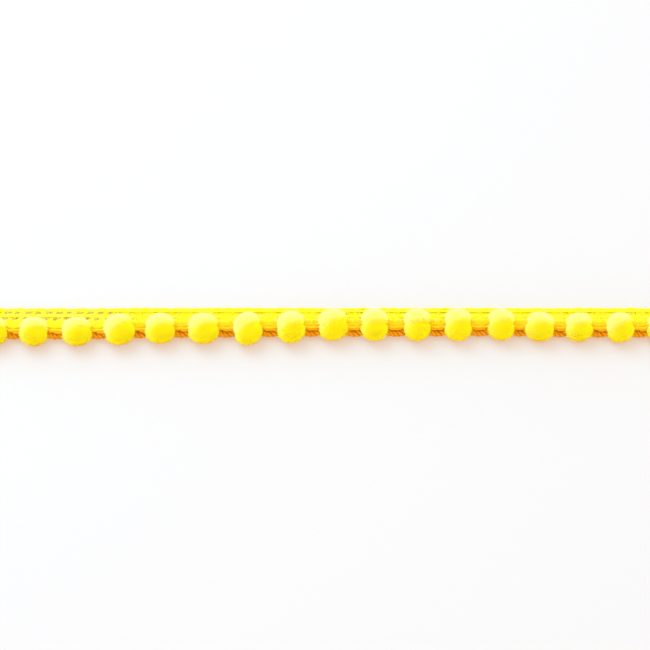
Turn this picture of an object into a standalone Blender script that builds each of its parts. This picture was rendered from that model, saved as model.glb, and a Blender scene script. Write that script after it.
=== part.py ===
"""Pompom fringe trim: a narrow knitted braid with a row of cut yarn pompoms bound along its front edge.

The trim lies as it does when it comes off its card. The rear third of the braid is flat on the surface.
The front rises to the waists of the pompoms, which its edge stitches hold, and each pompom stands on
the surface. X runs along the trim, -Y is the pompoms' side and +Z is up. Sizes are in metres, and the
tables are in millimetres. Both ends are plain cuts.
"""

import math

import bmesh
import bpy
from mathutils import Matrix, Vector

MM = 0.001
GAP = 0.3 * MM  # what separate pieces keep between them

# The braid
TRIM_LENGTH = 123 * MM
BACK_EDGE_Y = 3.70 * MM
KNIT_THICKNESS = 1.1 * MM
STITCHES = 68  # edge stitches along the trim, 1.8 mm each
STEPS_PER_STITCH = 2
STITCHES_PER_LOOP = 2  # a raised loop stands over every second edge stitch
FLAT_SHARE = 0.34  # the share of the width that lies flat
SCALLOP = 0.6 * MM  # how far the front edge bows out between two pompoms
SCALLOP_STARTS = 1.9 * MM  # from a pompom's middle
SCALLOP_FULL = 3.3 * MM
SCALLOP_SHARE = 0.6  # the share of the width from which the edge bows

# How the braid lies along its length: its reach from the back edge to the middle of the front edge at
# a pompom, and the height of that middle.
LIE_COLUMNS = ("x", "reach", "front_height")
LIE = (
    (-61.5, 4.20, 2.20),
    (-43.0, 4.20, 2.20),
    (-25.0, 3.90, 2.35),
    (0.0, 3.70, 2.40),
    (31.0, 3.60, 2.40),
    (45.0, 3.85, 2.35),
    (61.5, 3.85, 2.35),
)

# A section across the braid, one row for each point around it: the share of the reach, the height over
# the middle of the knit, how high which stitch lifts it there, and which ways it moves where the section
# is made larger.
SECTION_COLUMNS = ("share", "height", "lift", "stitch", "grow_back", "grow_up")
SECTION = (
    (-0.13, 0.00, 0.10, "edge", 1, 0),
    (0.00, 0.42, 0.28, "edge", 0, 1),
    (0.20, 0.44, 0.00, "edge", 0, 1),
    (0.42, 0.48, 0.38, "loop", 0, 1),
    (0.65, 0.44, 0.00, "edge", 0, 1),
    (0.90, 0.44, 0.20, "edge", 0, 1),
    (1.12, 0.04, 0.08, "edge", -1, 0),
    (0.98, -0.48, 0.00, "edge", -1, -1),
    (0.75, -0.50, 0.00, "edge", 0, -1),
    (0.50, -0.52, 0.00, "edge", 0, -1),
    (0.32, -0.55, 0.00, "edge", 0, -1),
    (-0.04, -0.55, 0.00, "edge", 1, -1),
)
SLOPE_STEP = 0.02  # the share of the reach over which the knit's slope is read

# The pompoms from left to right: place along the trim, distance of the middle from the back edge, size
# along X, Y and Z, and how far the ball is turned about the vertical.
POMPOM_COLUMNS = ("x", "from_back", "width", "depth", "height", "turn")
POMPOMS = (
    (-57.6, 5.40, 5.0, 4.9, 5.0, 4),
    (-50.5, 5.40, 5.0, 4.8, 5.0, -6),
    (-43.0, 5.40, 5.2, 4.8, 5.0, 5),
    (-35.7, 5.00, 5.3, 5.3, 5.1, 20),
    (-28.6, 4.80, 5.3, 5.2, 5.1, 0),
    (-21.1, 4.80, 5.4, 5.3, 5.1, 5),
    (-13.4, 4.80, 5.0, 5.8, 5.0, 18),
    (-5.9, 4.50, 5.0, 5.6, 5.1, 7),
    (1.4, 4.00, 5.3, 5.6, 5.1, 14),
    (8.6, 4.00, 4.9, 5.8, 5.1, -5),
    (16.0, 4.00, 4.8, 5.8, 5.1, 4),
    (23.1, 4.00, 4.9, 5.8, 5.0, 3),
    (30.6, 3.95, 4.8, 5.6, 5.0, -4),
    (37.3, 4.40, 5.1, 5.0, 5.0, -12),
    (44.1, 4.50, 4.9, 4.9, 4.9, 4),
    (51.2, 4.60, 4.8, 5.1, 5.0, 16),
    (58.3, 4.50, 5.0, 5.0, 5.0, 0),
)

# A pompom's yarn stands out from its core in locks with four sides.
CORE_SHARE = 0.6  # of the ball's radius
LOCK_COLUMNS_X = 3  # locks side by side along X, over the top and under the bottom
BAND_SHARE = 0.6  # height over depth of the box that is blown up to the ball, which sets the waist row
ROUNDING = (1.05, 1.05, 1.10)  # how much larger the faceted ball is along X, Y and Z
LOCK_INSET = 0.15 * MM  # how far each side of a lock's end draws in from its neighbour
REST_SHORTER = 0.1 * MM  # how much shorter the lowest locks are, which lets the pompom rest level
ROOM_STEPS = 8  # sections along the slot for the braid
WAIST_LEVEL = 0.1  # a face whose middle lies this near the level of the waist belongs to its row

COLOURS = {
    "braid": (1.0, 0.80, 0.02, 1.0),
    "pompom": (1.0, 0.83, 0.03, 1.0),
}


def clear_scene():
    for obj in list(bpy.data.objects):
        bpy.data.objects.remove(obj, do_unlink=True)


def yarn_material(name, colour):
    material = bpy.data.materials.new(name)
    material.use_nodes = True
    shader = material.node_tree.nodes["Principled BSDF"]
    shader.inputs["Base Color"].default_value = colour
    shader.inputs["Roughness"].default_value = 0.95
    shader.inputs["Metallic"].default_value = 0.0
    return material


def add_object(name, bm, material):
    mesh = bpy.data.meshes.new(name)
    bm.to_mesh(mesh)
    bm.free()
    obj = bpy.data.objects.new(name, mesh)
    bpy.context.scene.collection.objects.link(obj)
    if material:
        mesh.materials.append(material)
    return obj


def smooth_step(t):
    t = min(max(t, 0.0), 1.0)
    return t * t * (3 - 2 * t)


def rows(table, columns):
    return [dict(zip(columns, row)) for row in table]


def lie_at(x):
    """The braid's reach and front height at x, eased from row to row of LIE."""
    table = rows(LIE, LIE_COLUMNS)
    for low, high in zip(table, table[1:]):
        if x <= high["x"] * MM:
            break
    span = (high["x"] - low["x"]) * MM
    t = smooth_step((x - low["x"] * MM) / span)
    reach = low["reach"] + (high["reach"] - low["reach"]) * t
    height = low["front_height"] + (high["front_height"] - low["front_height"]) * t
    return reach * MM, height * MM


def scallop_at(x):
    """How far the front edge bows out at x: nothing at a pompom, and most between two."""
    nearest = min(abs(x - row["x"] * MM) for row in rows(POMPOMS, POMPOM_COLUMNS))
    t = (nearest - SCALLOP_STARTS) / (SCALLOP_FULL - SCALLOP_STARTS)
    return SCALLOP * smooth_step(t)


def middle_of_knit(x, share):
    """The point in the middle of the knit's thickness at x and at a share of the reach."""
    reach, front_height = lie_at(x)
    bow = scallop_at(x) * smooth_step((share - SCALLOP_SHARE) / (1 - SCALLOP_SHARE))
    low = KNIT_THICKNESS / 2
    rise = smooth_step((share - FLAT_SHARE) / (1 - FLAT_SHARE))
    return Vector((x, BACK_EDGE_Y - reach * share - bow, low + (front_height - low) * rise))


def knit_normal(x, share):
    """The direction out of the knit's upper face."""
    along = middle_of_knit(x, share - SLOPE_STEP) - middle_of_knit(x, share + SLOPE_STEP)
    return Vector((0, -along.z, along.y)).normalized()


def section_points(x, lifts, grow):
    """The points around the braid at x. Grow moves them out, for the room that a pompom leaves."""
    points = []
    for row in rows(SECTION, SECTION_COLUMNS):
        out = (row["height"] + row["lift"] * lifts[row["stitch"]]) * MM + row["grow_up"] * grow
        point = middle_of_knit(x, row["share"]) + knit_normal(x, row["share"]) * out
        point.y += row["grow_back"] * grow
        points.append(point)
    return points


def loft(stations):
    """A closed body through rings of points: the first ring's face is extruded from one to the next."""
    bm = bmesh.new()
    ring = [bm.verts.new(point) for point in stations[0]]
    face = bm.faces.new(ring)
    inner = []
    for points in stations[1:]:
        made = bmesh.ops.extrude_face_region(bm, geom=[face])["geom"]
        face = next(item for item in made if isinstance(item, bmesh.types.BMFace))
        inner.append(face)
        for vert, point in zip(face.verts, points):
            vert.co = point
    bmesh.ops.delete(bm, geom=inner[:-1], context="FACES_ONLY")
    bmesh.ops.recalc_face_normals(bm, faces=bm.faces)
    return bm


def stitch_lifts(step):
    """How far the stitches are up, from 0 to 1, at one of the steps along the braid."""
    edge = 1.0 if step % STEPS_PER_STITCH else 0.0
    loop_steps = STEPS_PER_STITCH * STITCHES_PER_LOOP
    turn = 2 * math.pi * (step % loop_steps) / loop_steps
    return {"edge": edge, "loop": 0.5 - 0.5 * math.cos(turn)}


def make_braid(material):
    steps = STITCHES * STEPS_PER_STITCH
    stations = []
    for step in range(steps + 1):
        x = TRIM_LENGTH * (step / steps - 0.5)
        stations.append(section_points(x, stitch_lifts(step), 0.0))
    return add_object("braid", loft(stations), material)


def make_room(row):
    """The braid's own form where it passes a pompom, larger all round by the gap."""
    x = row["x"] * MM
    half = row["width"] * MM / 2 + GAP
    lifts = {"edge": 1.0, "loop": 1.0}
    stations = []
    for step in range(ROOM_STEPS + 1):
        along = x + half * (2 * step / ROOM_STEPS - 1)
        stations.append(section_points(along, lifts, GAP))
    room = add_object("room", loft(stations), None)
    room.hide_render = True
    room.display_type = "WIRE"
    return room


def lock_grid():
    """A ball's skin as a box of four-sided faces: 3 by 2 above and below, and one row around the waist."""
    bm = bmesh.new()
    bmesh.ops.create_cube(bm, size=2.0)
    cuts = [(Vector((0, 0, 0)), Vector((0, 1, 0)))]
    for column in range(1, LOCK_COLUMNS_X):
        place = 2 * column / LOCK_COLUMNS_X - 1
        cuts.append((Vector((place, 0, 0)), Vector((1, 0, 0))))
    for place, normal in cuts:
        geom = bm.verts[:] + bm.edges[:] + bm.faces[:]
        bmesh.ops.bisect_plane(bm, geom=geom, plane_co=place, plane_no=normal)
    for vert in bm.verts:
        vert.co.z *= BAND_SHARE
        vert.co.normalize()
    return bm


def is_lock(direction):
    """A face grows a lock unless the braid passes there, at the back of the waist."""
    at_waist = abs(direction.z) < WAIST_LEVEL
    return not (at_waist and direction.y > -WAIST_LEVEL)


def make_pompom(name, row, material):
    """A core with locks that stand out from it, and a slot at its back for the braid's front edge."""
    bm = lock_grid()
    sizes = (row["width"], row["depth"], row["height"])
    radii = Vector([size * more * MM / 2 for size, more in zip(sizes, ROUNDING)])
    directions = {face: face.calc_center_median().normalized() for face in bm.faces}
    grown = [face for face, direction in directions.items() if is_lock(direction)]
    for vert in bm.verts:
        vert.co *= CORE_SHARE
    made = bmesh.ops.extrude_discrete_faces(bm, faces=grown)["faces"]
    for face in made:
        middle = face.calc_center_median()
        for vert in face.verts:
            out = vert.co.normalized()
            inward = middle.normalized() - out
            vert.co = (out + inward.normalized() * (LOCK_INSET / radii.x)).normalized()
    poked = bmesh.ops.poke(bm, faces=made)
    for vert in poked["verts"]:
        vert.co.normalize()
    drop = max(-vert.co.z for vert in bm.verts) * radii.z
    place = Vector((row["x"] * MM, BACK_EDGE_Y - row["from_back"] * MM, drop - REST_SHORTER))
    turn = Matrix.Rotation(math.radians(row["turn"]), 4, "Z")
    size = Matrix.Diagonal(radii).to_4x4()
    bmesh.ops.transform(bm, matrix=Matrix.Translation(place) @ turn @ size, verts=bm.verts)
    for vert in bm.verts:
        vert.co.z = max(vert.co.z, 0.0)
    bmesh.ops.recalc_face_normals(bm, faces=bm.faces)
    pompom = add_object(name, bm, material)
    carve(pompom, make_room(row))
    pompom.data.shade_smooth()
    pompom.data.set_sharp_from_angle(angle=math.radians(30))
    return pompom


def carve(obj, cutter):
    """Takes the cutter out of the object and keeps the largest body that is left."""
    cut = obj.modifiers.new("room for the braid", "BOOLEAN")
    cut.operation = "DIFFERENCE"
    cut.solver = "EXACT"
    cut.object = cutter
    depsgraph = bpy.context.evaluated_depsgraph_get()
    carved = bpy.data.meshes.new_from_object(obj.evaluated_get(depsgraph))
    obj.modifiers.clear()
    bpy.data.objects.remove(cutter, do_unlink=True)
    bm = bmesh.new()
    bm.from_mesh(carved)
    bodies = islands(bm)
    bodies.sort(key=len, reverse=True)
    loose = [vert for body in bodies[1:] for vert in body]
    bmesh.ops.delete(bm, geom=loose, context="VERTS")
    bm.to_mesh(obj.data)
    bm.free()
    bpy.data.meshes.remove(carved)


def islands(bm):
    """The vertices of each separate body."""
    left = set(bm.verts)
    found = []
    while left:
        body = set()
        reach = [left.pop()]
        while reach:
            vert = reach.pop()
            body.add(vert)
            near = {edge.other_vert(vert) for edge in vert.link_edges} & left
            left -= near
            reach.extend(near)
        found.append(body)
    return found


def main():
    clear_scene()
    make_braid(yarn_material("braid yarn", COLOURS["braid"]))
    pile = yarn_material("pompom yarn", COLOURS["pompom"])
    for number, row in enumerate(rows(POMPOMS, POMPOM_COLUMNS), start=1):
        make_pompom(f"pompom_{number:02d}", row, pile)


main()
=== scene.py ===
"""Dresses a length of pompom fringe trim: a knitted yarn braid with cut yarn pompoms bound along its edge.

The braid is made of the yarns that a trim maker's machine lays: wefts that run to and fro across it, and
chains of stitches that hold them. Each pompom is a bound tuft of cut pile in two lobes. Sizes are in
metres, and tables are in millimetres.
"""

import math
import random

import bmesh
import bpy
from bpy.props import FloatProperty, FloatVectorProperty, IntProperty, PointerProperty
from mathutils import Matrix, Vector, noise


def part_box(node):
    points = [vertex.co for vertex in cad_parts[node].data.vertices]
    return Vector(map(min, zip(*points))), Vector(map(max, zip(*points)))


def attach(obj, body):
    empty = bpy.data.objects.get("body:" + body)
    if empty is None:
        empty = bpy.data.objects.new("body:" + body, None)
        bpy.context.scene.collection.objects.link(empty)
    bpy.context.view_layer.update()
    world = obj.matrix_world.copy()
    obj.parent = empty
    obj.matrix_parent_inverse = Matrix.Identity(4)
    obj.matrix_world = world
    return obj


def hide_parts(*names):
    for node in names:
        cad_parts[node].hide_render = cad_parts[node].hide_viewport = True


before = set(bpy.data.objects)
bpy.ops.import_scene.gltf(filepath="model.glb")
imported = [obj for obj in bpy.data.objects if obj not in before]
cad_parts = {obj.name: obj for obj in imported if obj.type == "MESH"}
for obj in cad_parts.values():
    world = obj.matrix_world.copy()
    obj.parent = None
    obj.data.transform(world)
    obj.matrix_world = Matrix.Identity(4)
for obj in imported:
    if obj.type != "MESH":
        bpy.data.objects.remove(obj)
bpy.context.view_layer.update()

bl_info = {
    "name": "Pompom fringe trim",
    "version": (1, 0, 0),
    "blender": (4, 5, 0),
    "location": "3D View > Sidebar > Trim",
    "description": "Builds a knitted braid with cut pile pompoms, and a plain stage for it",
    "category": "Object",
}

MM = 0.001
SEED = 11
FLOOR_GAP = 0.01 * MM  # what the yarns keep above the floor

# The braid's lie, the same as the solid's
BRAID_LOW, BRAID_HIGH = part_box("braid")
TRIM_LENGTH = BRAID_HIGH.x - BRAID_LOW.x
BACK_EDGE_Y = BRAID_HIGH.y - 0.546 * MM  # the middle of the back chain
KNIT_THICKNESS = 1.1 * MM
STITCHES = 68
FLAT_SHARE = 0.34  # of the braid's reach, from its back edge
SCALLOP = 0.6 * MM  # how far the front edge bows out between two pompoms
SCALLOP_STARTS = 1.6 * MM  # from a pompom's middle
SCALLOP_FULL = 2.8 * MM
SCALLOP_SHARE = 0.6  # of the reach, where the bow starts
SLOPE_STEP = 0.02  # of the reach, to either side of where a slope is taken

# Where the knit is stretched open: up to where along the trim, over how many millimetres it then draws in,
# and the shares of the reach at which it opens into eyelets
OPEN_END = -42.0
OPEN_FADE = 10.0
EYELETS = (0.14, 0.46)

# The braid's reach from its back edge, and the height of its front edge, along the trim
LIE_COLUMNS = ("x", "reach", "front_height")
LIE = (
    (-61.5, 4.20, 2.20),
    (-43.0, 4.20, 2.20),
    (-25.0, 3.90, 2.35),
    (0.0, 3.70, 2.40),
    (31.0, 3.60, 2.40),
    (45.0, 3.85, 2.35),
    (61.5, 3.85, 2.35),
)

# The chains of stitches along the braid: their place across it, how wide and how high they stand, the
# yarn's size, how much further back and how much narrower they lie where the knit is open, and how far
# their loops may stick out to the back.
CHAIN_COLUMNS = ("share", "half_width", "top", "yarn", "shift", "narrow", "bulge")
CHAINS = (
    (0.015, 0.29, 0.22, 0.42, 0.0, 0.50, 0.6),
    (0.41, 0.32, 0.32, 0.44, 0.11, 0.60, 0.0),
    (1.00, 0.36, 0.16, 0.40, 0.0, 0.0, 0.0),
)

# The pompoms from left to right, as their solids: place along the trim, distance of the middle from
# the back edge, size along X, Y and Z, the turn of the crease seen from above, and how far the crease
# leans over to the front.
POMPOM_COLUMNS = ("x", "from_back", "width", "depth", "height", "turn", "lean")
POMPOMS = (
    (-57.6, 5.40, 5.0, 4.9, 5.0, 4, 12),
    (-50.5, 5.40, 5.0, 4.8, 5.0, -6, 8),
    (-43.0, 5.40, 5.2, 4.8, 5.0, 5, 12),
    (-35.7, 5.00, 5.3, 5.3, 5.1, 24, 14),
    (-28.6, 4.80, 5.3, 5.2, 5.1, 0, 14),
    (-21.1, 4.80, 5.4, 5.3, 5.1, 5, 14),
    (-13.4, 4.80, 5.0, 5.8, 5.0, 20, 16),
    (-5.9, 4.50, 5.0, 5.6, 5.1, 9, 18),
    (1.4, 4.00, 5.3, 5.6, 5.1, 16, 16),
    (8.6, 4.00, 4.9, 5.8, 5.1, -5, 18),
    (16.0, 4.00, 4.8, 5.8, 5.1, 4, 20),
    (23.1, 4.00, 4.9, 5.8, 5.0, 3, 16),
    (30.6, 3.95, 4.8, 5.6, 5.0, -4, 14),
    (37.3, 4.40, 5.1, 5.0, 5.0, -12, 14),
    (44.1, 4.50, 4.9, 4.9, 4.9, 4, 16),
    (51.2, 4.60, 4.8, 5.1, 5.0, 18, 16),
    (58.3, 4.50, 5.0, 5.0, 5.0, 0, 14),
)


def srgb(hex_colour):
    """Linear red, green and blue of an sRGB colour written as six hex digits."""
    parts = [int(hex_colour[i : i + 2], 16) / 255 for i in (0, 2, 4)]
    return tuple(p / 12.92 if p <= 0.04045 else ((p + 0.055) / 1.055) ** 2.4 for p in parts)


class TrimBraidSizes(bpy.types.PropertyGroup):
    weft_yarn: FloatProperty(
        name="Weft yarn", description="Diameter of one weft strand", default=0.42 * MM,
        unit="LENGTH", precision=5,
    )
    weft_strands: IntProperty(
        name="Weft strands", description="Strands laid side by side", default=5, min=1
    )
    weft_spacing: FloatProperty(
        name="Weft spacing", description="From strand to strand", default=0.36 * MM,
        unit="LENGTH", precision=5,
    )
    weft_slant: FloatProperty(
        name="Weft slant", description="How far a strand runs along the braid as it crosses it",
        default=0.7 * MM, unit="LENGTH", precision=5,
    )
    unevenness: FloatProperty(
        name="Unevenness", description="How far the yarns stray", default=0.05 * MM,
        unit="LENGTH", precision=5,
    )
    binding_yarn: FloatProperty(
        name="Binding yarn", description="Diameter of one strand of the binding yarn", default=0.60 * MM,
        unit="LENGTH", precision=5,
    )
    binding_strands: IntProperty(
        name="Binding strands", description="Strands twisted together", default=3, min=1
    )
    fuzz_spacing: FloatProperty(
        name="Fuzz spacing", description="Least distance between two loose fibres of the braid's yarns",
        default=0.22 * MM, unit="LENGTH", precision=5,
    )
    fuzz_length: FloatProperty(
        name="Fuzz length", description="Length of a loose fibre", default=0.60 * MM,
        unit="LENGTH", precision=5,
    )
    fuzz_radius: FloatProperty(
        name="Fuzz radius", description="Radius of a loose fibre at its root", default=0.030 * MM,
        unit="LENGTH", precision=6,
    )


class TrimPileSizes(bpy.types.PropertyGroup):
    pile_length: FloatProperty(
        name="Pile length", description="How far the cut ends stand out of the ball", default=0.34 * MM,
        unit="LENGTH", precision=5,
    )
    fibre_radius: FloatProperty(
        name="Pile fibre", description="Radius of a bundle of fibres at its root", default=0.050 * MM,
        unit="LENGTH", precision=6,
    )
    spacing: FloatProperty(
        name="Pile spacing", description="Least distance between two bundles", default=0.078 * MM,
        unit="LENGTH", precision=6,
    )
    stray_length: FloatProperty(
        name="Stray fibre", description="Length of a fibre that stands out past the pile", default=0.78 * MM,
        unit="LENGTH", precision=5,
    )
    stray_spacing: FloatProperty(
        name="Stray spacing", description="Least distance between two stray fibres", default=0.26 * MM,
        unit="LENGTH", precision=5,
    )
    stray_radius: FloatProperty(
        name="Stray radius", description="Radius of a stray fibre at its root", default=0.032 * MM,
        unit="LENGTH", precision=6,
    )
    room: FloatProperty(
        name="Room for the braid", description="What the ball keeps clear of the braid", default=0.25 * MM,
        unit="LENGTH", precision=5,
    )


class TrimColours(bpy.types.PropertyGroup):
    tip: FloatVectorProperty(
        name="Yarn", description="Colour of the dyed yarn", subtype="COLOR", size=3, default=srgb("FFF007")
    )
    # The painted highlight colour: pale, for the cut ends that face the key light
    faded: FloatVectorProperty(
        name="Faded ends", description="Colour of the cut ends that face the light",
        subtype="COLOR", size=3, default=srgb("FFF890"),
    )
    weft: FloatVectorProperty(
        name="Weft", description="Colour of the weft on top", subtype="COLOR", size=3, default=srgb("DACB07")
    )
    chains: FloatVectorProperty(
        name="Chains", description="Colour of the chains on top", subtype="COLOR", size=3,
        default=srgb("E2DD1D"),
    )
    # Painted shade: the orange for the shade deep in the knit and on the pile's shaded side
    root: FloatVectorProperty(
        name="Roots", description="Colour deep in the yarn", subtype="COLOR", size=3, default=srgb("F39E00")
    )
    # Painted shade: the binding yarn's dark orange is the colour of the shade it lies in under the braid's
    # front edge
    binding: FloatVectorProperty(
        name="Binding", description="Colour of the binding yarn", subtype="COLOR", size=3,
        default=srgb("CE8100"),
    )
    # Painted shade: a deeper yellow for the pile's roots and the bare ball between the fibre ends
    within: FloatVectorProperty(
        name="Pile within", description="Colour between the ends of the pile", subtype="COLOR", size=3,
        default=srgb("FFEB07"),
    )


class TrimStageSizes(bpy.types.PropertyGroup):
    elevation: FloatProperty(
        name="Elevation", description="The camera's angle above the surface", default=math.radians(60),
        subtype="ANGLE",
    )
    distance: FloatProperty(
        name="Distance", description="From the camera to the trim", default=0.35, unit="LENGTH"
    )
    frame_width: FloatProperty(
        name="Frame width", description="What the picture spans at the trim", default=113.4 * MM,
        unit="LENGTH", precision=4,
    )
    key: FloatProperty(name="Key light", description="Power of the light at the back left", default=1.0)
    fill: FloatProperty(name="Fill light", description="Strength of the light from all round", default=1.0)


def add_node(tree, kind, links=(), **settings):
    """One node with its settings and input values, and links from other nodes' outputs to its inputs."""
    node = tree.nodes.new(kind)
    for name, value in settings.items():
        if name == "values":
            for socket, amount in value.items():
                node.inputs[socket].default_value = amount
        else:
            setattr(node, name, value)
    for output, socket in links:
        tree.links.new(output, node.inputs[socket])
    return node


def smooth_step(t):
    t = min(max(t, 0.0), 1.0)
    return t * t * (3 - 2 * t)


def rows(table, columns):
    return [dict(zip(columns, row)) for row in table]


LIE_ROWS = rows(LIE, LIE_COLUMNS)
POMPOM_ROWS = rows(POMPOMS, POMPOM_COLUMNS)


def lie_at(x):
    """The braid's reach and front height at x, eased from row to row."""
    for low, high in zip(LIE_ROWS, LIE_ROWS[1:]):
        if x <= high["x"] * MM:
            break
    t = smooth_step((x / MM - low["x"]) / (high["x"] - low["x"]))
    reach = low["reach"] + (high["reach"] - low["reach"]) * t
    height = low["front_height"] + (high["front_height"] - low["front_height"]) * t
    return reach * MM, height * MM


def scallop_at(x):
    """How far the front edge bows out at x: nothing at a pompom, and most between two."""
    nearest = min(abs(x - row["x"] * MM) for row in POMPOM_ROWS)
    return SCALLOP * smooth_step((nearest - SCALLOP_STARTS) / (SCALLOP_FULL - SCALLOP_STARTS))


def drawn_in(x):
    """How tightly the knit is drawn in at x: 0 at the left, where it is stretched open, and 1 past there."""
    return smooth_step((x / MM - OPEN_END) / OPEN_FADE)


def middle_of_knit(x, share):
    """The middle of the knit's thickness at x and at a share of the reach."""
    reach, front_height = lie_at(x)
    bow = scallop_at(x) * smooth_step((share - SCALLOP_SHARE) / (1 - SCALLOP_SHARE))
    low = KNIT_THICKNESS / 2
    rise = smooth_step((share - FLAT_SHARE) / (1 - FLAT_SHARE))
    return Vector((x, BACK_EDGE_Y - reach * share - bow, low + (front_height - low) * rise))


def knit_normal(x, share):
    along = middle_of_knit(x, share - SLOPE_STEP) - middle_of_knit(x, share + SLOPE_STEP)
    return Vector((0, -along.z, along.y)).normalized()


def knit_point(x, share, height):
    """A point of the braid: along it, across it, and above the middle of its thickness."""
    return middle_of_knit(x, share) + knit_normal(x, share) * height


def keep_above_floor(mesh):
    for vert in mesh.vertices:
        vert.co.z = max(vert.co.z, FLOOR_GAP)


def finish_piece(name, mesh, material, node):
    """Adds the mesh to the scene as a piece that stands for the node's solid."""
    obj = bpy.data.objects.new(name, mesh)
    bpy.context.scene.collection.objects.link(obj)
    mesh.materials.clear()
    mesh.materials.append(material)
    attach(obj, "root")
    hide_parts(node)


def evaluated_mesh(obj):
    """A new mesh of the object as its modifiers or its curve make it."""
    depsgraph = bpy.context.evaluated_depsgraph_get()
    return bpy.data.meshes.new_from_object(obj.evaluated_get(depsgraph))


def yarn_mesh(name, paths, radius, closed):
    """Round yarns along the paths, as one mesh. U runs along each yarn, in millimetres of the first."""
    curve = bpy.data.curves.new(name, "CURVE")
    curve.dimensions = "3D"
    curve.bevel_depth = radius
    curve.bevel_resolution = 1
    curve.use_fill_caps = True
    for path in paths:
        spline = curve.splines.new("POLY")
        spline.points.add(len(path) - 1)
        for point, place in zip(spline.points, path):
            point.co = (*place, 1.0)
        spline.use_cyclic_u = closed
    obj = bpy.data.objects.new(name, curve)
    bpy.context.scene.collection.objects.link(obj)
    bpy.context.view_layer.update()
    mesh = evaluated_mesh(obj)
    length = sum((b - a).length for a, b in zip(paths[0], paths[0][1:])) / MM
    for corner in mesh.uv_layers[0].data:
        corner.uv.x *= length
    bpy.data.objects.remove(obj, do_unlink=True)
    bpy.data.curves.remove(curve)
    keep_above_floor(mesh)
    mesh.shade_smooth()
    return mesh


# How much painted light the tip value gets where the knit is open, and how much painted shade at the front edge
OPEN_LIGHT = 0.6
FRONT_SHADE = 0.75


def paint_light_and_shade(mesh):
    """Writes how far each point stands out of the knit, 0 underneath and 1 on top, as the tip value, which
    paints shade low in the knit.

    Open knit gets painted light, as it is lit right through, and the front of the braid gets painted shade, as
    it lies in the shade of the pompoms.
    """
    tip = mesh.attributes.new("tip", "FLOAT", "POINT")
    for vert, value in zip(mesh.vertices, tip.data):
        reach, _ = lie_at(vert.co.x)
        from_back = BACK_EDGE_Y - vert.co.y
        middle = middle_of_knit(vert.co.x, min(max(from_back / reach, 0.0), 1.0))
        height = min(max((vert.co.z - middle.z) / KNIT_THICKNESS + 0.5, 0.0), 1.0)
        lit = min(height + OPEN_LIGHT * (1 - drawn_in(vert.co.x)), 1.0)
        front = smooth_step((from_back - 0.5 * reach) / (0.65 * reach))
        value.value = lit * (1 - FRONT_SHADE * front)


def fibre_material(name, colour):
    """Spun acrylic fibre of one colour, with its node tree and shader: what every yarn here is made of."""
    material = bpy.data.materials.new(name)
    material.use_nodes = True
    tree = material.node_tree
    shader = tree.nodes["Principled BSDF"]
    for socket, value in {
        "Base Color": (*colour, 1),
        # Dull, with no glint, and a trace of sheen on its hairs
        "Roughness": 0.9,
        "Specular IOR Level": 0.1,
        "Sheen Weight": 0.03,
        "Sheen Roughness": 0.5,
        # Light sinks up to 0.6 mm into the loose fibres, least of all its blue, so that their shade glows
        "Subsurface Weight": 0.25,
        "Subsurface Scale": 0.6 * MM,
        "Subsurface Radius": (1.0, 0.8, 0.2),
    }.items():
        shader.inputs[socket].default_value = value
    return material, tree, shader


def yarn_material(name, ply_unit, top, deep=None):
    """Acrylic knitting yarn: matt, with tightly twisted plies that show as slanted ribs.

    Where there is a deep colour, the top one turns into it as the yarn sinks into the knit: painted shade,
    which gives the eye the depth between the stitches.
    """
    material, tree, shader = fibre_material(name, top)
    if deep is not None:
        # Painted shade: the tip value picks the deep colour low in the knit and the top colour on top
        tip = add_node(tree, "ShaderNodeAttribute", attribute_name="tip")
        ramp = add_node(tree, "ShaderNodeValToRGB", [(tip.outputs["Fac"], "Fac")])
        stops = ramp.color_ramp.elements
        stops[0].position, stops[0].color = 0.12, (*deep, 1)
        stops[1].position, stops[1].color = 0.70, (*top, 1)
        tree.links.new(ramp.outputs["Color"], shader.inputs["Base Color"])
    # U is about millimetres along the yarn, and ply_unit is how many of them one unit of the pattern takes.
    # At this scale and slant the wave has a rib each 0.22 of a unit, so 0.9 puts the ribs 0.2 mm apart. They
    # stand 0.06 mm high.
    place = add_node(tree, "ShaderNodeTexCoord")
    slanted = add_node(
        tree, "ShaderNodeMapping", [(place.outputs["UV"], "Vector")],
        values={"Scale": (1 / ply_unit, 1.0, 1.0), "Rotation": (0, 0, math.radians(45))},
    )
    ribs = add_node(
        tree, "ShaderNodeTexWave", [(slanted.outputs["Vector"], "Vector")],
        values={"Scale": 2.0, "Distortion": 0.4},
    )
    bump = add_node(
        tree, "ShaderNodeBump", [(ribs.outputs["Fac"], "Height")],
        values={"Strength": 0.6, "Distance": 0.06 * MM},
    )
    tree.links.new(bump.outputs["Normal"], shader.inputs["Normal"])
    return material


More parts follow.
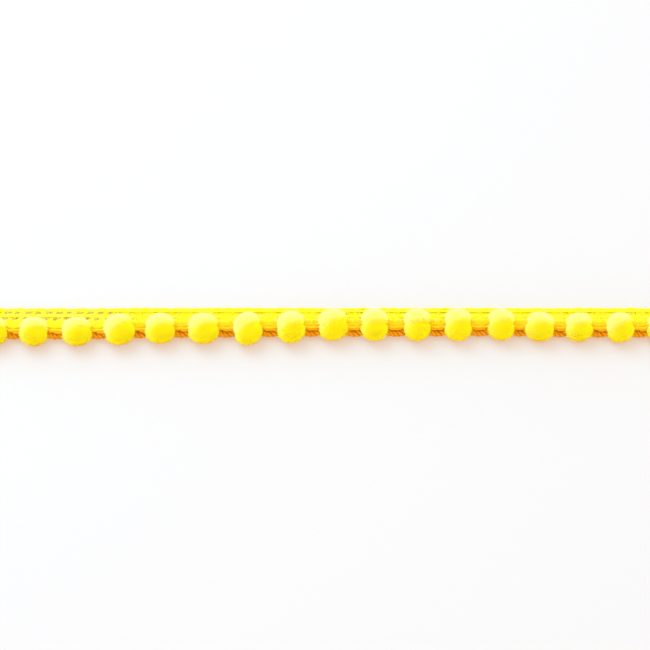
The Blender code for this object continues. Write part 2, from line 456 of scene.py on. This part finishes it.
def pile_material():
    """Cut acrylic pile: painted shade in orange in the crease and underneath, lemon on the ball, and a pale
    painted highlight on the ends that face the light.
    """
    colours = bpy.context.scene.trim_colours
    material, tree, shader = fibre_material("cut acrylic pile", colours.tip)
    # Painted light by the way the ends point: along the ramp, painted shade, then the yarn's colour, then a
    # painted highlight
    faded = add_node(tree, "ShaderNodeAttribute", attribute_name="faded")
    ends = add_node(tree, "ShaderNodeValToRGB", [(faded.outputs["Fac"], "Fac")])
    stops = ends.color_ramp.elements
    stops[0].position, stops[0].color = 0.15, (*colours.root, 1)
    stops[1].position, stops[1].color = 0.95, (*colours.faded, 1)
    stops.new(0.55).color = (*colours.tip, 1)
    # From the painted shade at a fibre's root, a deeper yellow, to the colour of the ends at its tip. A mix
    # node's colours A and B are its inputs 6 and 7, and their mix is its output 2.
    tip = add_node(tree, "ShaderNodeAttribute", attribute_name="tip")
    colour = add_node(
        tree, "ShaderNodeMix", [(tip.outputs["Fac"], 0), (ends.outputs["Color"], 7)],
        data_type="RGBA", values={6: (*colours.within, 1)},
    )
    tree.links.new(colour.outputs[2], shader.inputs["Base Color"])
    return material


# Where a weft strand's points lie across the braid, closest together over the eyelets
WEFT_SHARES = (0.0, 0.07, 0.14, 0.21, 0.28, 0.35, 0.43, 0.51, 0.60, 0.72, 0.84, 0.96)


class TRIM_OT_weft(bpy.types.Operator):
    """Lays the weft strands to and fro across the braid"""

    bl_idname = "pompom_trim.weft"
    bl_label = "Weft yarns"

    def execute(self, context):
        sizes = context.scene.trim_braid
        stray = random.Random(SEED)
        course = TRIM_LENGTH / STITCHES
        paths = [self.strand(sizes, number, course, stray) for number in range(sizes.weft_strands)]
        mesh = yarn_mesh("braid_weft", paths, sizes.weft_yarn / 2, False)
        paint_light_and_shade(mesh)
        colours = context.scene.trim_colours
        material = yarn_material("twisted acrylic yarn, weft", 0.9, colours.weft, colours.root)
        finish_piece("braid_weft", mesh, material, "braid")
        return {"FINISHED"}

    def strand(self, sizes, number, course, stray):
        """One strand: to the braid's front, round the edge, and back, over the eyelets' sides both ways."""
        aside = (number - (sizes.weft_strands - 1) / 2) * sizes.weft_spacing
        fan = 0.6 * aside
        points = []
        for pair in range(STITCHES // 2):
            centre = -TRIM_LENGTH / 2 + (2 * pair + 1) * course
            slant = sizes.weft_slant * (2 - drawn_in(centre))
            for share in WEFT_SHARES:
                points.append(self.crossing(sizes, centre - course / 2, aside, share, 1))
            points.append((centre - 0.2 * course + fan - slant / 2, 1.12, -0.15 * MM))
            points.append((centre + 0.2 * course + fan - slant / 2, 1.10, -0.3 * MM))
            for share in reversed(WEFT_SHARES):
                points.append(self.crossing(sizes, centre + course / 2, aside, share, -1))
            points.append((centre + course + fan + slant / 2, -0.08, 0.0))
        limit = TRIM_LENGTH / 2 - sizes.weft_yarn / 2
        path = []
        for x, share, height in points:
            x += stray.uniform(-1, 1) * sizes.unevenness
            height += stray.uniform(-1, 1) * sizes.unevenness
            path.append(knit_point(min(max(x, -limit), limit), share, height))
        return path

    def crossing(self, sizes, x, aside, share, side):
        """A point of a crossing, whose strands bunch up beside an eyelet where the knit is stretched open."""
        open_here = 1 - drawn_in(x)
        bunched = open_here * max(math.exp(-(((share - place) / 0.10) ** 2)) for place in EYELETS)
        number = round(aside / sizes.weft_spacing)
        x += aside * (1 - 0.75 * bunched) - sizes.weft_slant * (1 + open_here) * (share - 0.5)
        height = side * 0.03 * MM + (0.30 * (number % 2) - 0.15) * MM * bunched
        return x, share, height


class TRIM_OT_chains(bpy.types.Operator):
    """Works the chains of stitches that hold the weft"""

    bl_idname = "pompom_trim.chains"
    bl_label = "Chains of stitches"

    def execute(self, context):
        colours = context.scene.trim_colours
        material = yarn_material("twisted acrylic yarn, chains", 0.8, colours.chains, colours.root)
        stray = random.Random(SEED + 1)
        for number, chain in enumerate(rows(CHAINS, CHAIN_COLUMNS), start=1):
            paths = []
            for stitch in range(STITCHES):
                for side in (1, -1):
                    paths.append(self.loop(chain, stitch, side, stray))
            mesh = yarn_mesh(f"braid_chain_{number}", paths, chain["yarn"] * MM / 2, True)
            paint_light_and_shade(mesh)
            finish_piece(f"braid_chain_{number}", mesh, material, "braid")
        return {"FINISHED"}

    def loop(self, chain, stitch, side, stray):
        """One stitch as a closed drop whose tail sits in the head of the one before it."""
        course = TRIM_LENGTH / STITCHES
        length = 1.45 * course  # the tail lies under the stitch before
        count = 14  # points round the loop
        uneven = bpy.context.scene.trim_braid.unevenness
        limit = TRIM_LENGTH / 2 - chain["yarn"] * MM / 2
        half_width = chain["half_width"] * MM
        bulge = 1 + chain["bulge"] * stray.random()
        path = []
        for step in range(count):
            turn = 2 * math.pi * step / count
            along = 0.5 - 0.5 * math.cos(turn)
            x = -TRIM_LENGTH / 2 + (stitch + along * length / course - 0.2) * course
            # Narrow at the tail and full at the head, and of its own width on the side that may stick out
            width = half_width * math.sin(turn) * (0.45 + 0.55 * along) * (bulge if turn > math.pi else 1.0)
            height = side * (0.04 * MM + chain["top"] * MM * math.sin(math.pi * along))
            x += stray.uniform(-1, 1) * uneven
            height += stray.uniform(-1, 1) * uneven
            x = min(max(x, -limit), limit)
            reach, _ = lie_at(x)
            open_here = 1 - drawn_in(x)
            width *= 1 - chain["narrow"] * open_here
            share = chain["share"] - chain["shift"] * open_here
            path.append(knit_point(x, share + width / reach, height))
        return path


class TRIM_OT_binding(bpy.types.Operator):
    """Runs the binding yarns from pompom to pompom below the braid's front edge"""

    bl_idname = "pompom_trim.binding"
    bl_label = "Binding yarns"

    def execute(self, context):
        sizes = context.scene.trim_braid
        in_pile = 0.45 * MM  # what each end of a length lies within a pompom
        ends = [(row["x"] * MM, row["width"] * MM / 2 - in_pile) for row in POMPOM_ROWS]
        pitch = ends[1][0] - ends[0][0]
        ends = [(ends[0][0] - pitch, ends[0][1])] + ends + [(ends[-1][0] + pitch, ends[-1][1])]
        paths = []
        for (left, left_half), (right, right_half) in zip(ends, ends[1:]):
            for strand in range(sizes.binding_strands):
                phase = strand / sizes.binding_strands
                paths.append(self.strand(sizes, left + left_half, right - right_half, phase))
        mesh = yarn_mesh("braid_binding", paths, sizes.binding_yarn / 2, False)
        # The binding yarn's colour is painted shade, dark orange for the shade under the braid's front edge
        colour = context.scene.trim_colours.binding
        material = yarn_material("twisted acrylic yarn, binding", 0.8, colour)
        finish_piece("braid_binding", mesh, material, "braid")
        return {"FINISHED"}

    def strand(self, sizes, start, end, phase):
        """One strand of a twisted cord that sags between two pompoms."""
        steps = 16
        around = sizes.binding_yarn * 0.66  # from the cord's middle to the strand's
        twist = 2.4 * MM  # the cord's length in one turn
        in_front = 1.12 * MM  # of the braid's front edge
        limit = TRIM_LENGTH / 2 - sizes.binding_yarn / 2
        low, high = max(start, -limit), min(end, limit)
        path = []
        for step in range(steps + 1):
            x = low + (high - low) * step / steps
            reach, _ = lie_at(x)
            sag = 0.62 * math.sin(math.pi * (x - start) / (end - start))
            turn = 2 * math.pi * (phase + (x - start) / twist)
            y = BACK_EDGE_Y - reach - in_front + around * math.cos(turn)
            z = (1.62 - sag) * MM + around * math.sin(turn)
            path.append(Vector((x, y, z)))
        return path


def lobed_ball(row, radii, stray):
    """The ball under the pile: two lobes, parted by the crease where the tuft is bound."""
    bm = bmesh.new()
    bmesh.ops.create_icosphere(bm, subdivisions=5, radius=1.0)
    crease = crease_normal(row)
    seed = Vector([stray.uniform(0, 50) for _ in range(3)])
    for vert in bm.verts:
        out = vert.co.normalized()
        reach = max(lobe_reach(out, crease, side) for side in (1, -1))
        lump = 1 + 0.02 * noise.noise(out * 2.2 + seed)  # a few soft lumps to a ball
        point = out * reach * lump
        vert.co = Vector([a * b for a, b in zip(point, radii)])
    axes = {"use_axis_x": True, "use_axis_y": True, "use_axis_z": True}
    bmesh.ops.smooth_vert(bm, verts=bm.verts, factor=0.5, **axes)
    return bm


def crease_normal(row):
    """The way across a pompom's crease, to the back and up."""
    turn = Matrix.Rotation(math.radians(row["turn"]), 3, "Z")
    lean = Matrix.Rotation(math.radians(row["lean"]), 3, "X")
    return turn @ lean @ Vector((0, 1, 0))


def lobe_reach(out, crease, side):
    """How far the surface of one lobe, a flattened ball beside the crease, lies in the direction out."""
    flat = 0.77  # the lobe's half thickness, of the ball's radius
    aside = 0.26  # the lobe's middle from the crease
    along = out.dot(crease)
    across = math.sqrt(max(1 - along * along, 0.0))
    a = (along / flat) ** 2 + across**2
    b = -2 * along * side * aside / flat**2
    c = (aside / flat) ** 2 - 1
    return (-b + math.sqrt(max(b * b - 4 * a * c, 0.0))) / (2 * a)


def room_for_braid(row, clear):
    """The braid's form beside a pompom, larger by what the ball keeps clear of it."""
    half = row["width"] * MM / 2 + clear
    thick = KNIT_THICKNESS / 2 + clear
    steps = 10
    ring = [(share, 1) for share in (-0.3, 0.1, 0.4, 0.7, 0.9)]
    ring += [(1.05, 0.6), (1.05, -0.6)]
    ring += [(share, -1) for share in (0.9, 0.7, 0.4, 0.1, -0.3)]
    bm = bmesh.new()
    face = None
    inner = []
    for step in range(steps + 1):
        x = row["x"] * MM + half * (2 * step / steps - 1)
        points = [knit_point(x, share, thick * side) for share, side in ring]
        for point, (share, side) in zip(points, ring):
            if share > 0.95:
                point.y -= clear
        if face is None:
            face = bm.faces.new([bm.verts.new(point) for point in points])
            continue
        made = bmesh.ops.extrude_face_region(bm, geom=[face])["geom"]
        face = next(item for item in made if isinstance(item, bmesh.types.BMFace))
        inner.append(face)
        for vert, point in zip(face.verts, points):
            vert.co = point
    bmesh.ops.delete(bm, geom=inner[:-1], context="FACES_ONLY")
    bmesh.ops.recalc_face_normals(bm, faces=bm.faces)
    return bm


def object_from(bm, name):
    mesh = bpy.data.meshes.new(name)
    bm.to_mesh(mesh)
    bm.free()
    obj = bpy.data.objects.new(name, mesh)
    bpy.context.scene.collection.objects.link(obj)
    return obj


def in_braid(point, clear):
    """Whether a point lies in the braid or closer to it than the clearance."""
    reach, _ = lie_at(point.x)
    share = (BACK_EDGE_Y - point.y) / reach
    front_yarn = 0.5 * MM  # what the weft's turns stand out past the reach
    if share > 1.0 + (front_yarn + clear) / reach:
        return False
    middle = middle_of_knit(point.x, min(share, 1.0))
    normal = knit_normal(point.x, min(share, 1.0))
    return abs((point - middle).dot(normal)) < KNIT_THICKNESS / 2 + clear


def fibre_from(bm, name, length):
    """The fibre's object, whose tip value rises from 0 at the root to 1 at its bend or end."""
    obj = object_from(bm, name)
    tip = obj.data.attributes.new("tip", "FLOAT", "POINT")
    for vert, value in zip(obj.data.vertices, tip.data):
        value.value = min(max(vert.co.z / (length * 0.6), 0.0), 1.0)
    obj.data.shade_smooth()
    return obj


def bundle_object(name, radius, length, bend):
    """One bundle of fibres that stands on the origin: thick at its root, blunt and bent at its tip."""
    bm = bmesh.new()
    bmesh.ops.create_cone(
        bm, cap_ends=True, segments=3, radius1=radius, radius2=radius * 0.85, depth=length
    )
    for vert in bm.verts:
        vert.co.z += length / 2
        if vert.co.z > length / 2:
            vert.co.x += bend
    return fibre_from(bm, name, length)


def curl_object(name, radius, length, bend):
    """One fine fibre that stands on the origin and curls over to a point."""
    bm = bmesh.new()
    straight = length * 0.6
    bmesh.ops.create_cone(
        bm, cap_ends=True, segments=3, radius1=radius, radius2=radius * 0.75, depth=straight
    )
    bmesh.ops.translate(bm, verts=bm.verts, vec=(0, 0, straight / 2))
    upper = next(face for face in bm.faces if all(vert.co.z > length * 0.5 for vert in face.verts))
    bmesh.ops.translate(bm, verts=upper.verts, vec=(bend * 0.25, 0, 0))
    point = bmesh.ops.poke(bm, faces=[upper])["verts"][0]
    point.co = (bend, 0, length * 0.92)
    bmesh.ops.recalc_face_normals(bm, faces=bm.faces)
    return fibre_from(bm, name, length)


# The limits between which a bundle or fibre leans either way, in radians, turns round itself, and is scaled
LEAN = ((-0.38, -0.38, -math.pi), (0.38, 0.38, math.pi))
SCALE = ((0.85, 0.85, 0.9), (1.15, 1.15, 1.03))


def pile_group(kinds, keep_base):
    """Stands each kind of bundle on a mesh, along the ways written on it, at least its spacing apart."""
    tree = bpy.data.node_groups.new("pile", "GeometryNodeTree")
    tree.interface.new_socket("Geometry", in_out="INPUT", socket_type="NodeSocketGeometry")
    tree.interface.new_socket("Seed", in_out="INPUT", socket_type="NodeSocketInt")
    tree.interface.new_socket("Geometry", in_out="OUTPUT", socket_type="NodeSocketGeometry")
    start = add_node(tree, "NodeGroupInput")
    named = "GeometryNodeInputNamedAttribute"
    where = add_node(tree, named, data_type="FLOAT", values={"Name": "pile"})
    grow = add_node(tree, named, data_type="FLOAT_VECTOR", values={"Name": "grow"})
    upright = add_node(
        tree, "FunctionNodeAlignRotationToVector", [(grow.outputs["Attribute"], "Vector")], axis="Z"
    )
    lean = add_node(
        tree, "FunctionNodeRandomValue", [(start.outputs["Seed"], "Seed")], data_type="FLOAT_VECTOR",
        values={0: LEAN[0], 1: LEAN[1]},
    )
    lean_turn = add_node(tree, "FunctionNodeEulerToRotation", [(lean.outputs[0], "Euler")])
    turned = add_node(
        tree, "FunctionNodeRotateRotation",
        [(upright.outputs["Rotation"], "Rotation"), (lean_turn.outputs["Rotation"], "Rotate By")],
        rotation_space="LOCAL",
    )
    size = add_node(
        tree, "FunctionNodeRandomValue", [(start.outputs["Seed"], "Seed")], data_type="FLOAT_VECTOR",
        values={0: SCALE[0], 1: SCALE[1]},
    )
    all_of_it = add_node(tree, "GeometryNodeJoinGeometry")
    if keep_base:
        tree.links.new(start.outputs["Geometry"], all_of_it.inputs["Geometry"])
    for bundle, spacing in kinds:
        points = add_node(
            tree, "GeometryNodeDistributePointsOnFaces",
            [(start.outputs["Geometry"], "Mesh"), (start.outputs["Seed"], "Seed"),
             (where.outputs["Attribute"], "Density Factor")],
            distribute_method="POISSON", values={"Distance Min": spacing, "Density Max": 1.2 / spacing**2},
        )
        what = add_node(tree, "GeometryNodeObjectInfo", values={"Object": bundle})
        stood = add_node(
            tree, "GeometryNodeInstanceOnPoints",
            [(points.outputs["Points"], "Points"), (what.outputs["Geometry"], "Instance"),
             (turned.outputs["Rotation"], "Rotation"), (size.outputs[0], "Scale")],
        )
        real = add_node(tree, "GeometryNodeRealizeInstances", [(stood.outputs["Instances"], "Geometry")])
        tree.links.new(real.outputs["Geometry"], all_of_it.inputs["Geometry"])
    end = add_node(tree, "NodeGroupOutput")
    tree.links.new(all_of_it.outputs["Geometry"], end.inputs["Geometry"])
    return tree


def point_columns(mesh, **kinds):
    """New values for each point of the mesh. All are made before one is fetched, as making one moves them."""
    for name, kind in kinds.items():
        mesh.attributes.new(name, kind, "POINT")
    return [mesh.attributes[name].data for name in kinds]


def with_pile(base, group, seed):
    """The base's mesh with its pile, its instances made real."""
    stand = base.modifiers.new("pile", "NODES")
    stand.node_group = group
    seed_socket = next(item.identifier for item in group.interface.items_tree if item.name == "Seed")
    stand[seed_socket] = seed
    base.update_tag()
    bpy.context.view_layer.update()
    return evaluated_mesh(base)


def carve(obj, cutter):
    """Cuts the cutter's form out of the object, and removes the cutter."""
    cut = obj.modifiers.new("room", "BOOLEAN")
    cut.operation = "DIFFERENCE"
    cut.solver = "EXACT"
    cut.object = cutter
    bpy.context.view_layer.update()
    carved = evaluated_mesh(obj)
    obj.modifiers.clear()
    obj.data = carved
    bpy.data.objects.remove(cutter, do_unlink=True)


class TRIM_OT_fuzz(bpy.types.Operator):
    """Raises the loose fibres that stand out of the braid's yarns"""

    bl_idname = "pompom_trim.fuzz"
    bl_label = "Fuzz of the braid"

    def execute(self, context):
        sizes = context.scene.trim_braid
        bm = bmesh.new()
        for name in ("braid_weft", "braid_chain_1", "braid_chain_2", "braid_chain_3"):
            bm.from_mesh(bpy.data.objects[name].data)
        yarns = object_from(bm, "yarns")
        columns = point_columns(yarns.data, pile="FLOAT", grow="FLOAT_VECTOR")
        for vert, dense, way in zip(yarns.data.vertices, *columns):
            way.vector = vert.normal
            dense.value = self.density(vert) if vert.normal.z > -0.3 else 0.0
        fibre = curl_object("fibre", sizes.fuzz_radius, sizes.fuzz_length, sizes.fuzz_length * 0.5)
        fuzz = with_pile(yarns, pile_group([(fibre, sizes.fuzz_spacing)], False), SEED)
        keep_above_floor(fuzz)
        bpy.data.objects.remove(yarns, do_unlink=True)
        bpy.data.objects.remove(fibre, do_unlink=True)
        # Single fibres in the painted highlight colour, pale against the light, that soften the edges of the
        # yarns
        material, _, _ = fibre_material("loose acrylic fibres", context.scene.trim_colours.faded)
        finish_piece("braid_fuzz", fuzz, material, "braid")
        return {"FINISHED"}

    def density(self, vert):
        """Thin on the back and middle of the braid, full where the fibres cross an eyelet, which they fill with
        painted light, none in front.
        """
        reach, _ = lie_at(vert.co.x)
        share = (BACK_EDGE_Y - vert.co.y) / reach
        if share >= 0.75:
            return 0.0
        eyelet = any(abs(share - place) < 0.12 for place in EYELETS)
        return 0.15 + 0.85 * (1 - drawn_in(vert.co.x)) * eyelet


# The drawn balls' sizes as shares of their solids', how many millimetres further back they sit, and what
# their pile keeps clear of the braid
BALL_SHARES = {"width": 0.98, "depth": 0.975, "height": 0.975}
BALL_BACK = 0.1
END_CLEAR = 0.05 * MM


class TRIM_OT_pompoms(bpy.types.Operator):
    """Makes the pompoms, each a creased ball of cut pile around the braid's front edge"""

    bl_idname = "pompom_trim.pompoms"
    bl_label = "Pompoms"

    def execute(self, context):
        sizes = context.scene.trim_pile
        material = pile_material()
        bundle = bundle_object("bundle", sizes.fibre_radius, sizes.pile_length * 1.05, sizes.pile_length * 0.15)
        curl = curl_object("curl", sizes.stray_radius, sizes.stray_length, sizes.stray_length * 0.35)
        group = pile_group([(bundle, sizes.spacing), (curl, sizes.stray_spacing)], True)
        for number, row in enumerate(POMPOM_ROWS, start=1):
            self.pompom(number, row, sizes, group, material)
        bpy.data.objects.remove(bundle, do_unlink=True)
        bpy.data.objects.remove(curl, do_unlink=True)
        return {"FINISHED"}

    def pompom(self, number, row, sizes, group, material):
        """One pompom: a ball of two lobes, cut out where the braid runs, and the pile that stands on it."""
        name = f"pompom_{number:02d}"
        stray = random.Random(SEED * 100 + number)
        full = Vector([row[size] * share for size, share in BALL_SHARES.items()]) * MM / 2
        _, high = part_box(name)
        radii = full - Vector((1, 1, 1)) * sizes.pile_length
        centre = Vector((row["x"] * MM, BACK_EDGE_Y - (row["from_back"] - BALL_BACK) * MM, high.z / 2))
        crease = crease_normal(row)
        bm = lobed_ball(row, radii, stray)
        bmesh.ops.translate(bm, verts=bm.verts, vec=centre)
        base = object_from(bm, "base")
        carve(base, object_from(room_for_braid(row, sizes.room), "room"))
        mesh = base.data
        columns = point_columns(mesh, pile="FLOAT", grow="FLOAT_VECTOR", tip="FLOAT", faded="FLOAT")
        for vert, dense, way, value, faded in zip(mesh.vertices, *columns):
            way.vector = (vert.co - centre).normalized()
            end = vert.co + way.vector * sizes.pile_length
            blocked = in_braid(end, END_CLEAR) or in_braid(vert.co, sizes.room * 0.9)
            dense.value = 0.0 if blocked else 1.0
            # The bare ball takes the painted shade of the pile's roots
            value.value = 0.0
            faded.value = self.painted_light_at(way.vector, crease)
        mesh.shade_smooth()
        piled = with_pile(base, group, number)
        keep_above_floor(piled)
        piled.name = name
        bpy.data.objects.remove(base, do_unlink=True)
        finish_piece(f"pile_{name}", piled, material, name)

    def painted_light_at(self, way, crease):
        """How much painted light the cut ends that point this way get: a painted highlight most on top, above
        the crease and to the left, toward the key light, and painted shade underneath.
        """
        top = smooth_step(0.78 + 0.8 * way.z)
        above = smooth_step(0.30 + 1.5 * way.dot(crease) - 0.38 * way.x) * smooth_step(0.5 + way.z)
        left = smooth_step(-0.1 - 1.1 * way.x)
        return 0.55 * top + 0.45 * above + 0.12 * left


class TRIM_OT_stage(bpy.types.Operator):
    """Sets a pale floor that glows with painted light, soft light and the camera"""

    bl_idname = "pompom_trim.stage"
    bl_label = "Stage"

    def execute(self, context):
        sizes = context.scene.trim_stage
        self.floor()
        self.lights(sizes)
        self.camera(sizes)
        context.scene.view_settings.view_transform = "Standard"
        return {"FINISHED"}

    def floor(self):
        bm = bmesh.new()
        bmesh.ops.create_grid(bm, x_segments=1, y_segments=1, size=3.0)
        floor = object_from(bm, "floor")
        # Painted light: the floor glows warm, which keeps the shadows on it pale and warm, and adds up to white
        # with the room's light on its bluish colour
        material = bpy.data.materials.new("floor glowing with painted light")
        material.use_nodes = True
        shader = material.node_tree.nodes["Principled BSDF"]
        shader.inputs["Base Color"].default_value = (*srgb("63869A"), 1)
        shader.inputs["Roughness"].default_value = 0.9
        shader.inputs["Specular IOR Level"].default_value = 0.1
        shader.inputs["Emission Color"].default_value = (*srgb("D4A472"), 1)
        shader.inputs["Emission Strength"].default_value = 1.0
        floor.data.materials.append(material)

    def lights(self, sizes):
        world = bpy.data.worlds.new("soft room")
        bpy.context.scene.world = world
        world.use_nodes = True
        back = world.node_tree.nodes["Background"]
        back.inputs["Color"].default_value = (*srgb("FFFFFF"), 1)
        back.inputs["Strength"].default_value = 2.05 * sizes.fill
        self.area("key", (-0.17, 0.16, 0.33), 0.30, 1.15 * sizes.key, "FFFFFF")

    def area(self, name, place, size, power, colour):
        light = bpy.data.lights.new(name, "AREA")
        light.shape = "DISK"
        light.size = size
        light.energy = power
        light.color = srgb(colour)
        obj = bpy.data.objects.new(name, light)
        obj.location = place
        obj.rotation_euler = (-Vector(place)).to_track_quat("-Z", "Y").to_euler()
        bpy.context.scene.collection.objects.link(obj)

    def camera(self, sizes):
        aim = Vector((0, 0.43 * MM, 1.2 * MM))  # what lies at the picture's middle
        back = Vector((0, -math.cos(sizes.elevation), math.sin(sizes.elevation)))
        data = bpy.data.cameras.new("camera")
        data.sensor_width = 36.0
        data.lens = data.sensor_width * sizes.distance / sizes.frame_width
        data.clip_start = 0.01
        camera = bpy.data.objects.new("camera", data)
        camera.location = aim + back * sizes.distance
        camera.rotation_euler = (-back).to_track_quat("-Z", "Y").to_euler()
        bpy.context.scene.collection.objects.link(camera)
        bpy.context.scene.camera = camera


class TRIM_PT_panel(bpy.types.Panel):
    bl_idname = "TRIM_PT_panel"
    bl_label = "Pompom fringe trim"
    bl_space_type = "VIEW_3D"
    bl_region_type = "UI"
    bl_category = "Trim"

    def draw(self, context):
        for operator in OPERATORS:
            self.layout.operator(operator.bl_idname)
        for name in SETTINGS:
            group = getattr(context.scene, name)
            for prop in group.bl_rna.properties:
                if prop.identifier not in {"rna_type", "name"}:
                    self.layout.prop(group, prop.identifier)


OPERATORS = (TRIM_OT_stage, TRIM_OT_weft, TRIM_OT_chains, TRIM_OT_binding, TRIM_OT_fuzz, TRIM_OT_pompoms)
SETTINGS = {
    "trim_braid": TrimBraidSizes,
    "trim_pile": TrimPileSizes,
    "trim_colours": TrimColours,
    "trim_stage": TrimStageSizes,
}


def register():
    for group in SETTINGS.values():
        bpy.utils.register_class(group)
    for name, group in SETTINGS.items():
        setattr(bpy.types.Scene, name, PointerProperty(type=group))
    for operator in OPERATORS:
        bpy.utils.register_class(operator)
    bpy.utils.register_class(TRIM_PT_panel)


def unregister():
    bpy.utils.unregister_class(TRIM_PT_panel)
    for operator in reversed(OPERATORS):
        bpy.utils.unregister_class(operator)
    for name, group in SETTINGS.items():
        delattr(bpy.types.Scene, name)
        bpy.utils.unregister_class(group)


def main():
    register()
    bpy.ops.pompom_trim.stage()
    bpy.ops.pompom_trim.weft()
    bpy.ops.pompom_trim.chains()
    bpy.ops.pompom_trim.binding()
    bpy.ops.pompom_trim.fuzz()
    bpy.ops.pompom_trim.pompoms()


if __name__ == "__main__":
    main()
